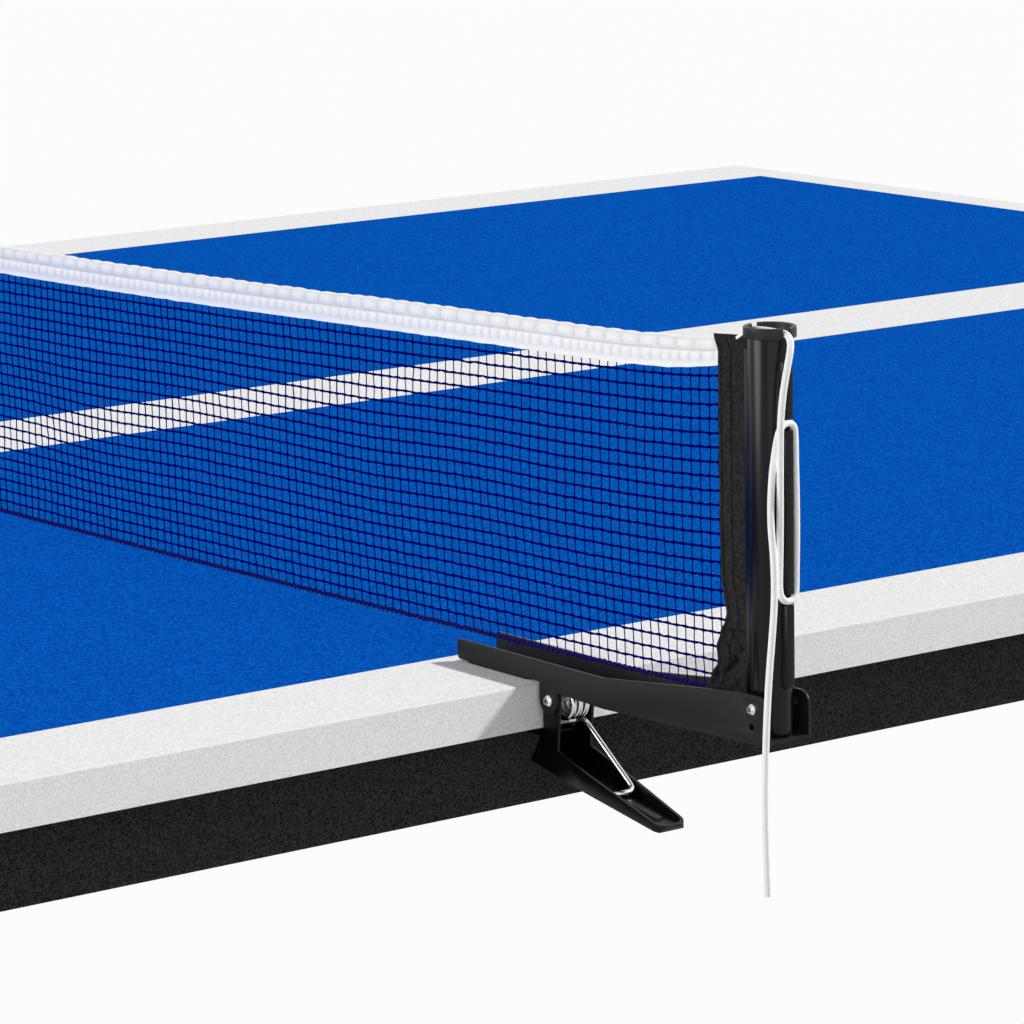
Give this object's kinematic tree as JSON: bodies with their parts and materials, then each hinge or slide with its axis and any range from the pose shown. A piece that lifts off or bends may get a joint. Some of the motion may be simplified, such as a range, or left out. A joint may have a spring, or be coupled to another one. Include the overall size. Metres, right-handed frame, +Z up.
{
  "type": "ping pong table",
  "caption": "Blue ping pong table in two halves on folding tube legs with braced stays, with a net strung between spring clamps that squeeze open to let go of the table's edge.",
  "frame": {"origin": "on the floor under the middle of the net, at the centre of the table", "axes": "+X along the table, +Y across it along the net and away from the pictured clamp, +Z up"},
  "size_m": [2.74, 1.8771, 0.9495],
  "materials": {
    "blue_top": "painted blue with white lines, satin",
    "white_edge": "satin edge strip",
    "black_rail": "matte powder coat",
    "leg_tube": "satin powder coat",
    "zinc": "bright zinc plate",
    "gloss_black_steel": "gloss black enamel",
    "black_rubber": "matte",
    "black_plastic": "satin moulded",
    "spring_wire": "drawn wire",
    "net_thread": "knotted thread",
    "white_tape": "woven tape",
    "black_cloth": "woven cloth",
    "white_cord": "braided cord"
  },
  "bodies": {
    "table": {"top_board_a": "blue_top", "top_board_b": "blue_top", "edge_band_a": "white_edge", "edge_band_b": "white_edge", "side_rail_near_a": "black_rail", "side_rail_far_a": "black_rail", "end_rail_a": "black_rail", "inner_rail_a": "black_rail", "side_rail_near_b": "black_rail", "side_rail_far_b": "black_rail", "end_rail_b": "black_rail", "inner_rail_b": "black_rail", "joining_plates": "black_rail", "hinge_brackets": "black_rail", "stay_brackets": "black_rail", "joining_bolts": "zinc", "hinge_pins": "zinc", "pivot_rivets": "zinc", "post_rivets": "zinc", "clamp_arm_near": "gloss_black_steel", "clamp_arm_far": "gloss_black_steel", "net_post_near": "gloss_black_steel", "net_post_far": "gloss_black_steel", "upper_jaw_pads": "black_rubber", "post_caps": "black_plastic", "torsion_spring_near": "spring_wire", "torsion_spring_far": "spring_wire", "net_mesh": "net_thread", "net_hem": "net_thread", "net_top_tape": "white_tape", "net_sleeve_near": "black_cloth", "net_sleeve_far": "black_cloth", "tension_cord": "white_cord"},
    "leg_frame_inner_a": {"legs_inner_a": "leg_tube", "crossbars_inner_a": "leg_tube", "feet_inner_a": "black_rubber"},
    "upper_stay_inner_a": {"stay_upper_inner_a": "zinc"},
    "lower_stay_inner_a": {"stay_lower_inner_a": "zinc"},
    "leg_frame_outer_a": {"legs_outer_a": "leg_tube", "crossbars_outer_a": "leg_tube", "feet_outer_a": "black_rubber"},
    "upper_stay_outer_a": {"stay_upper_outer_a": "zinc"},
    "lower_stay_outer_a": {"stay_lower_outer_a": "zinc"},
    "leg_frame_inner_b": {"legs_inner_b": "leg_tube", "crossbars_inner_b": "leg_tube", "feet_inner_b": "black_rubber"},
    "upper_stay_inner_b": {"stay_upper_inner_b": "zinc"},
    "lower_stay_inner_b": {"stay_lower_inner_b": "zinc"},
    "leg_frame_outer_b": {"legs_outer_b": "leg_tube", "crossbars_outer_b": "leg_tube", "feet_outer_b": "black_rubber"},
    "upper_stay_outer_b": {"stay_upper_outer_b": "zinc"},
    "lower_stay_outer_b": {"stay_lower_outer_b": "zinc"},
    "lever_near": {"clamp_lever_near": "gloss_black_steel", "lower_jaw_pad_near": "black_rubber"},
    "lever_far": {"clamp_lever_far": "gloss_black_steel", "lower_jaw_pad_far": "black_rubber"}
  },
  "joints": [
    {"name": "leg_fold_inner_a", "type": "hinge", "parent": "table", "child": "leg_frame_inner_a", "pos_m": [-0.445, 0, 0.717], "axis": [0, 1, 0], "range_deg": [0, 90]},
    {"name": "upper_stay_turn_inner_a", "type": "hinge", "parent": "table", "child": "upper_stay_inner_a", "pos_m": [-0.685, 0, 0.717], "axis": [0, 1, 0], "range_deg": [-45, 0]},
    {"name": "lower_stay_turn_inner_a", "type": "hinge", "parent": "leg_frame_inner_a", "child": "lower_stay_inner_a", "pos_m": [-0.445, 0, 0.477], "axis": [0, 1, 0], "range_deg": [0, 45]},
    {"name": "leg_fold_outer_a", "type": "hinge", "parent": "table", "child": "leg_frame_outer_a", "pos_m": [-1.27, 0, 0.717], "axis": [0, -1, 0], "range_deg": [0, 90]},
    {"name": "upper_stay_turn_outer_a", "type": "hinge", "parent": "table", "child": "upper_stay_outer_a", "pos_m": [-1.03, 0, 0.717], "axis": [0, -1, 0], "range_deg": [-45, 0]},
    {"name": "lower_stay_turn_outer_a", "type": "hinge", "parent": "leg_frame_outer_a", "child": "lower_stay_outer_a", "pos_m": [-1.27, 0, 0.477], "axis": [0, -1, 0], "range_deg": [0, 45]},
    {"name": "leg_fold_inner_b", "type": "hinge", "parent": "table", "child": "leg_frame_inner_b", "pos_m": [0.445, 0, 0.717], "axis": [0, -1, 0], "range_deg": [0, 90]},
    {"name": "upper_stay_turn_inner_b", "type": "hinge", "parent": "table", "child": "upper_stay_inner_b", "pos_m": [0.685, 0, 0.717], "axis": [0, -1, 0], "range_deg": [-45, 0]},
    {"name": "lower_stay_turn_inner_b", "type": "hinge", "parent": "leg_frame_inner_b", "child": "lower_stay_inner_b", "pos_m": [0.445, 0, 0.477], "axis": [0, -1, 0], "range_deg": [0, 45]},
    {"name": "leg_fold_outer_b", "type": "hinge", "parent": "table", "child": "leg_frame_outer_b", "pos_m": [1.27, 0, 0.717], "axis": [0, 1, 0], "range_deg": [0, 90]},
    {"name": "upper_stay_turn_outer_b", "type": "hinge", "parent": "table", "child": "upper_stay_outer_b", "pos_m": [1.03, 0, 0.717], "axis": [0, 1, 0], "range_deg": [-45, 0]},
    {"name": "lower_stay_turn_outer_b", "type": "hinge", "parent": "leg_frame_outer_b", "child": "lower_stay_outer_b", "pos_m": [1.27, 0, 0.477], "axis": [0, 1, 0], "range_deg": [0, 45]},
    {"name": "lever_squeeze_near", "type": "hinge", "parent": "table", "child": "lever_near", "pos_m": [0, -0.771, 0.753], "axis": [-1, 0, 0], "range_deg": [0, 18], "stiffness_Nm_per_rad": 1.8, "springref_deg": -20.05, "deforming": ["torsion_spring_near"]},
    {"name": "lever_squeeze_far", "type": "hinge", "parent": "table", "child": "lever_far", "pos_m": [0, 0.771, 0.753], "axis": [1, 0, 0], "range_deg": [0, 18], "stiffness_Nm_per_rad": 1.8, "springref_deg": -20.05, "deforming": ["torsion_spring_far"]}
  ],
  "couplings": [
    {"joint": "upper_stay_turn_inner_a", "follows": "leg_fold_inner_a", "ratio": -0.5},
    {"joint": "lower_stay_turn_inner_a", "follows": "leg_fold_inner_a", "ratio": 0.5},
    {"joint": "upper_stay_turn_outer_a", "follows": "leg_fold_outer_a", "ratio": -0.5},
    {"joint": "lower_stay_turn_outer_a", "follows": "leg_fold_outer_a", "ratio": 0.5},
    {"joint": "upper_stay_turn_inner_b", "follows": "leg_fold_inner_b", "ratio": -0.5},
    {"joint": "lower_stay_turn_inner_b", "follows": "leg_fold_inner_b", "ratio": 0.5},
    {"joint": "upper_stay_turn_outer_b", "follows": "leg_fold_outer_b", "ratio": -0.5},
    {"joint": "lower_stay_turn_outer_b", "follows": "leg_fold_outer_b", "ratio": 0.5}
  ]
}
